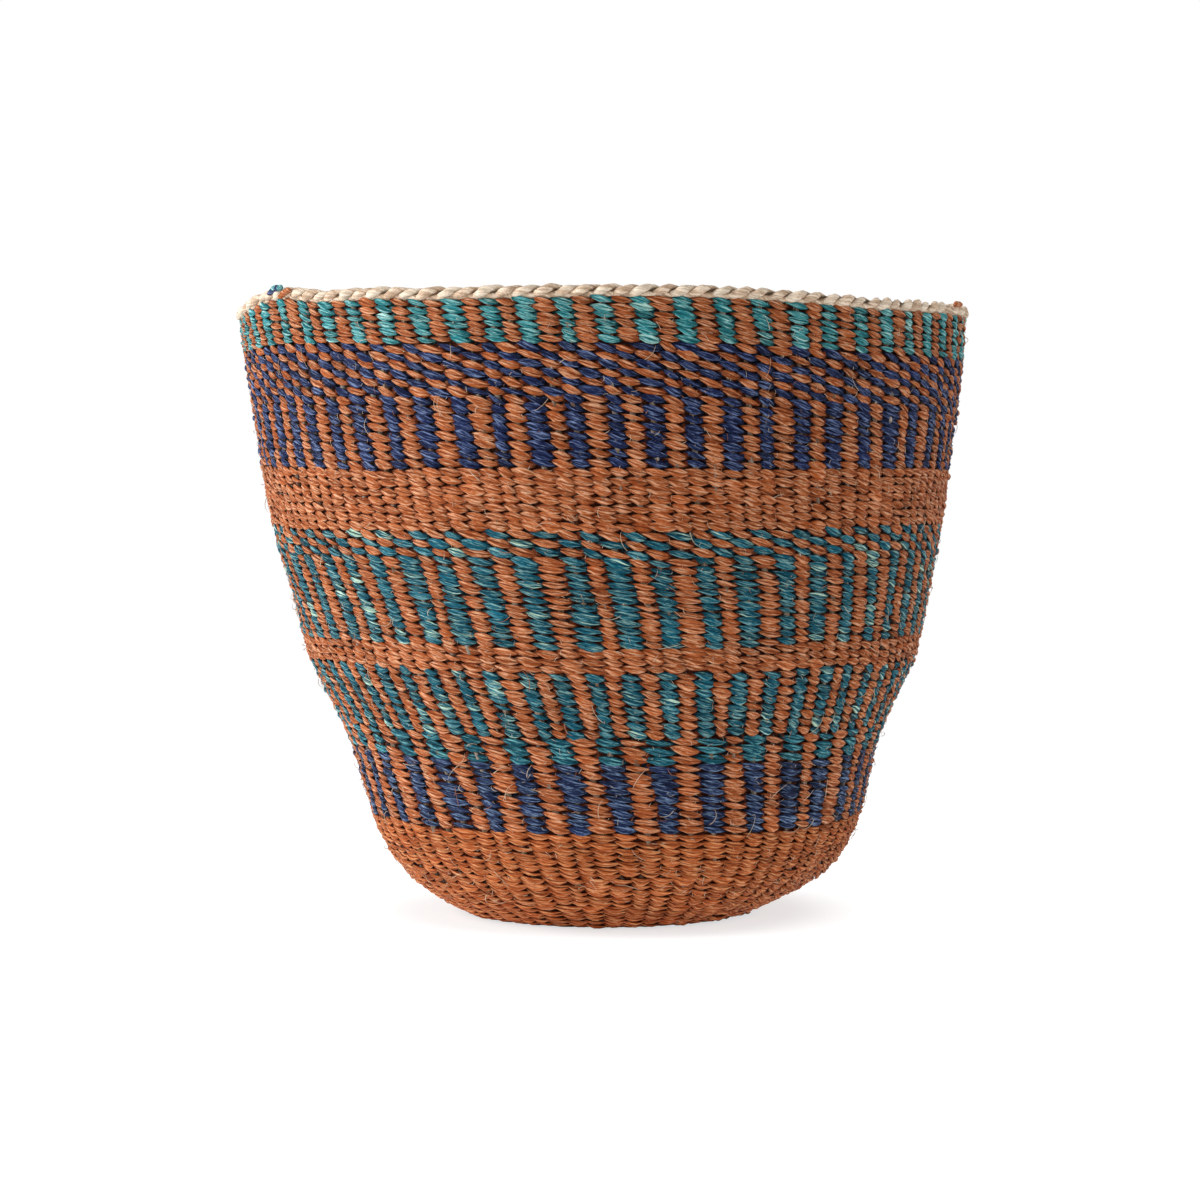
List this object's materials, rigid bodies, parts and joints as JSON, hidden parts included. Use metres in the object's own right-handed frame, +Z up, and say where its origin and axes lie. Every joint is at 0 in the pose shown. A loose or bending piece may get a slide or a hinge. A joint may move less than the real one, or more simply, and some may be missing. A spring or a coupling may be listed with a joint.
{
  "type": "twined sisal basket",
  "caption": "Round open basket of twined sisal with a flat base, a flared wall in striped and plain bands of terracotta, navy and teal, and a natural rim.",
  "frame": {"origin": "middle of the outside box at floor level, under the basket's flat base", "axes": "+Z up through the open mouth, -Y towards the side in the picture, +X to that side's right"},
  "size_m": [0.2898, 0.2902, 0.2451],
  "materials": {
    "terracotta_sisal": "matt hand-spun two-ply yarn",
    "navy_sisal": "matt hand-spun two-ply yarn",
    "teal_sisal": "matt hand-spun two-ply yarn with pale streaks",
    "natural_sisal": "undyed hand-spun fibre"
  },
  "bodies": {
    "root": {"base_start": "natural_sisal", "base_weave": "terracotta_sisal", "lower_plain_band": "terracotta_sisal", "lower_navy_weft": "navy_sisal", "coarse_ground_band": "terracotta_sisal", "coarse_teal_weft": "teal_sisal", "fine_teal_weft": "teal_sisal", "fine_ground_band": "terracotta_sisal", "narrow_plain_band": "terracotta_sisal", "middle_ground_band": "terracotta_sisal", "middle_teal_weft": "teal_sisal", "wide_plain_band": "terracotta_sisal", "upper_ground_band": "terracotta_sisal", "upper_navy_weft": "navy_sisal", "top_ground_band": "terracotta_sisal", "top_teal_weft": "teal_sisal", "rim_cord": "natural_sisal", "tail_teal": "teal_sisal", "tail_navy": "navy_sisal", "tail_terracotta_left": "terracotta_sisal", "tail_terracotta_right": "terracotta_sisal"}
  },
  "joints": []
}
